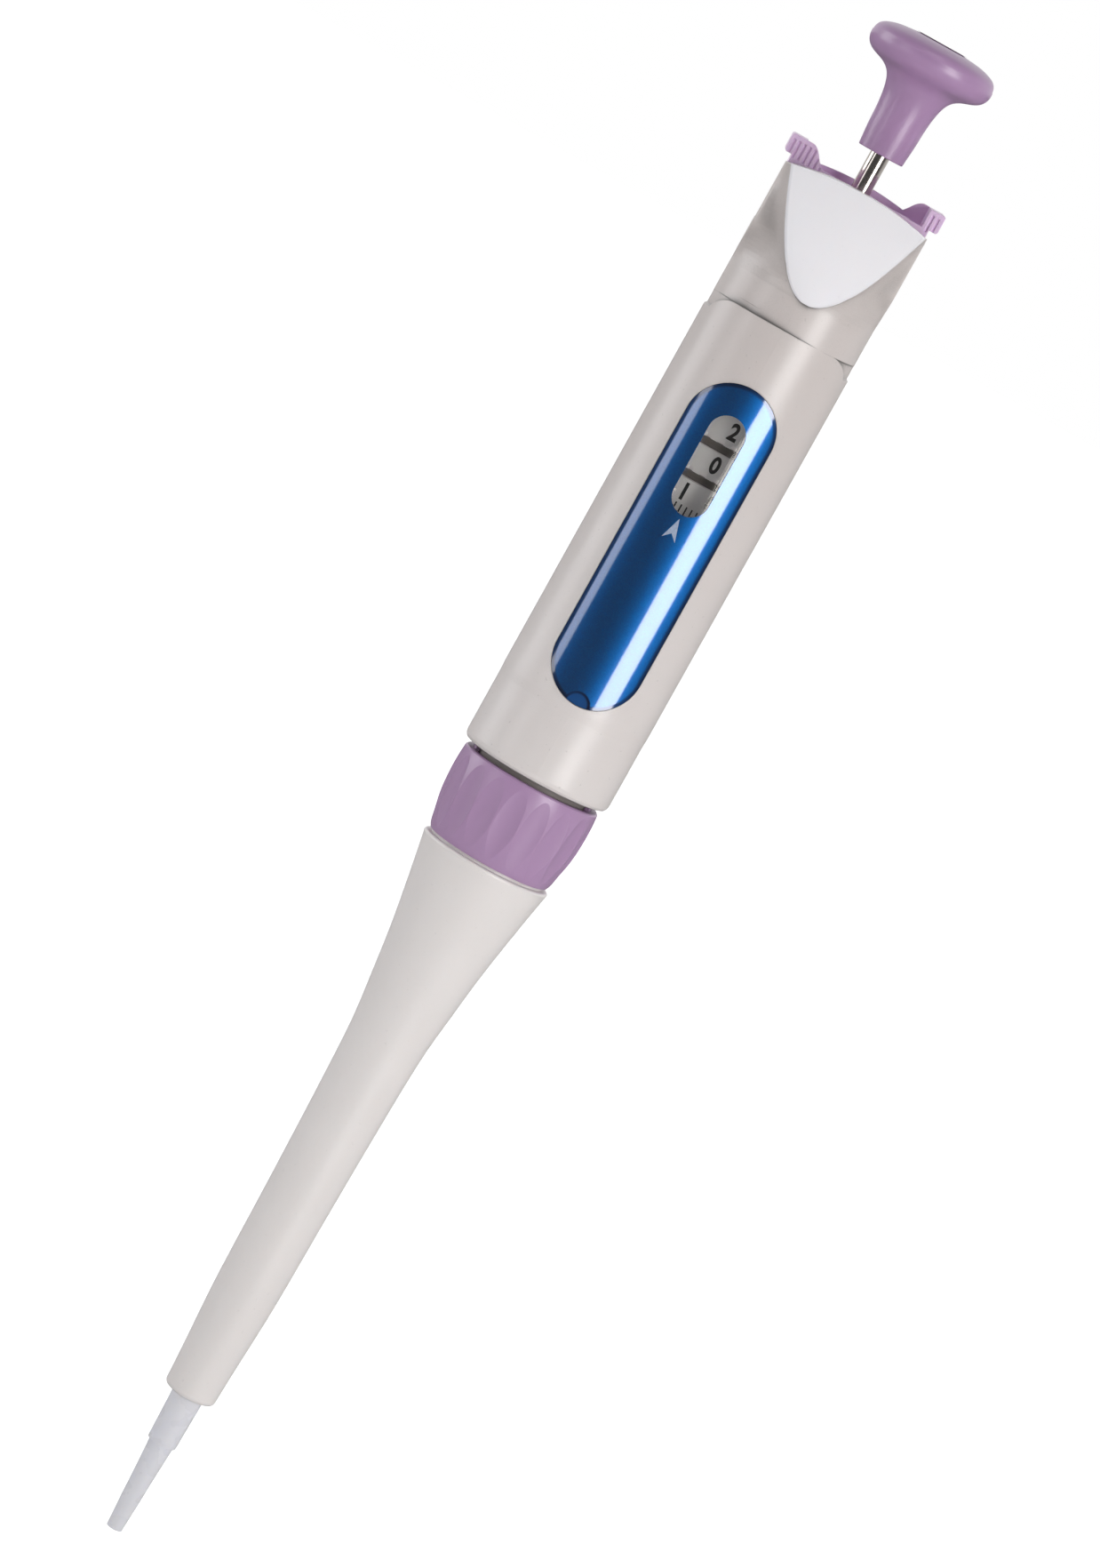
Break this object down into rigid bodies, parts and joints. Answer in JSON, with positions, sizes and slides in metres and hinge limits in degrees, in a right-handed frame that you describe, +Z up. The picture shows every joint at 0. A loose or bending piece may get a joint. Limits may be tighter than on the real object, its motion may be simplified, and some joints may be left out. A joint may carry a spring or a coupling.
{
  "type": "adjustable micropipette",
  "caption": "Hand-held adjustable-volume piston pipette with thumb plunger, side-winged tip ejector, finger hook, digit window and tapered tip cone.",
  "frame": {"origin": "on the pipette's axis, at the middle of the full-round grip land at the bottom of the handle, 137.6 mm above the open end of the tip cone", "axes": "+Z up the axis from the tip cone to the push button; the display window and the finger hook face -Y; +X is to the right when looking at the display"},
  "size_m": [0.0256, 0.0336, 0.255],
  "materials": {
    "shell_grey": "fine satin moulded plastic",
    "rest_white": "polished white plastic",
    "lilac": "smooth semi-gloss plastic",
    "plate_blue": "gloss metallic blue lacquer",
    "lens_clear": "clear moulded window",
    "neck_grey": "matt grey plastic",
    "cone_clear": "translucent bluish natural plastic",
    "steel": "ground and polished steel",
    "brass": "turned brass",
    "drum_white": "white moulded plastic",
    "black_plastic": "black moulded plastic",
    "seal_ptfe": "natural white seal plastic",
    "seal_rubber": "black rubber"
  },
  "bodies": {
    "handle": {"handle_shell": "shell_grey", "finger_rest_pad": "rest_white", "display_plate": "plate_blue", "display_lens": "lens_clear", "head_guide": "black_plastic", "lower_housing": "neck_grey", "volume_nut": "brass", "friction_ring": "seal_rubber", "counter_frame": "black_plastic", "counter_spacer_lower": "neck_grey", "counter_spacer_upper": "neck_grey", "pinion_shaft": "steel", "shaft": "cone_clear", "piston_seal": "seal_ptfe", "seal_o_ring": "seal_rubber", "seal_retainer": "brass", "piston_spring": "steel", "blowout_spring": "steel", "ejector_spring": "steel"},
    "drive_hub": {"drive_hub": "black_plastic", "hub_circlip": "steel", "counter_drum_low": "drum_white"},
    "counter_mid": {"counter_drum_mid": "drum_white"},
    "counter_top": {"counter_drum_top": "drum_white"},
    "pinion_low": {"transfer_pinion_lower": "black_plastic"},
    "pinion_high": {"transfer_pinion_upper": "black_plastic"},
    "volume_screw": {"volume_screw": "steel"},
    "plunger": {"push_button": "lilac", "button_cap": "lilac", "plunger_rod": "steel", "stop_flange": "steel", "piston_head": "steel", "piston": "steel"},
    "ejector": {"ejector_crown": "lilac", "ejector_leg_left": "lilac", "ejector_leg_right": "lilac", "ejector_carrier": "lilac", "ejector_sleeve": "shell_grey"},
    "collar": {"collar": "lilac"}
  },
  "joints": [
    {"name": "volume_turn", "type": "hinge", "parent": "handle", "child": "drive_hub", "pos_m": [0, 0, 0.0324], "axis": [0, 0, 1], "range_deg": [-6516, 0]},
    {"name": "volume_lift", "type": "slide", "parent": "drive_hub", "child": "volume_screw", "axis": [0, 0, 1], "range_m": [-0.0064, 0.0001]},
    {"name": "plunger_press", "type": "slide", "parent": "volume_screw", "child": "plunger", "axis": [0, 0, -1], "range_m": [0, 0.0095], "stiffness_N_per_m": 300, "springref_m": -0.008, "deforming": ["piston_spring", "blowout_spring"]},
    {"name": "counter_mid_turn", "type": "hinge", "parent": "handle", "child": "counter_mid", "pos_m": [0, 0, 0.0472], "axis": [0, 0, 1], "range_deg": [-652, 1]},
    {"name": "counter_top_turn", "type": "hinge", "parent": "handle", "child": "counter_top", "pos_m": [0, 0, 0.0532], "axis": [0, 0, 1], "range_deg": [-66, 1]},
    {"name": "pinion_low_turn", "type": "hinge", "parent": "handle", "child": "pinion_low", "pos_m": [0, 0.00825, 0.0444], "axis": [0, 0, 1], "range_deg": [-1, 1630]},
    {"name": "pinion_high_turn", "type": "hinge", "parent": "handle", "child": "pinion_high", "pos_m": [0, 0.00825, 0.0499], "axis": [0, 0, 1], "range_deg": [-1, 164]},
    {"name": "ejector_press", "type": "slide", "parent": "handle", "child": "ejector", "axis": [0, 0, -1], "range_m": [0, 0.0065], "stiffness_N_per_m": 400, "springref_m": -0.006, "deforming": ["ejector_spring"]},
    {"name": "collar_turn", "type": "hinge", "parent": "ejector", "child": "collar", "pos_m": [0, 0, -0.0136], "axis": [0, 0, 1], "range_deg": [0, 90]}
  ],
  "couplings": [
    {"joint": "volume_lift", "follows": "volume_turn", "m_per_rad": 0.000055704},
    {"joint": "counter_mid_turn", "follows": "volume_turn", "ratio": 0.1},
    {"joint": "counter_top_turn", "follows": "volume_turn", "ratio": 0.01},
    {"joint": "pinion_low_turn", "follows": "volume_turn", "ratio": -0.25},
    {"joint": "pinion_high_turn", "follows": "volume_turn", "ratio": -0.025}
  ]
}
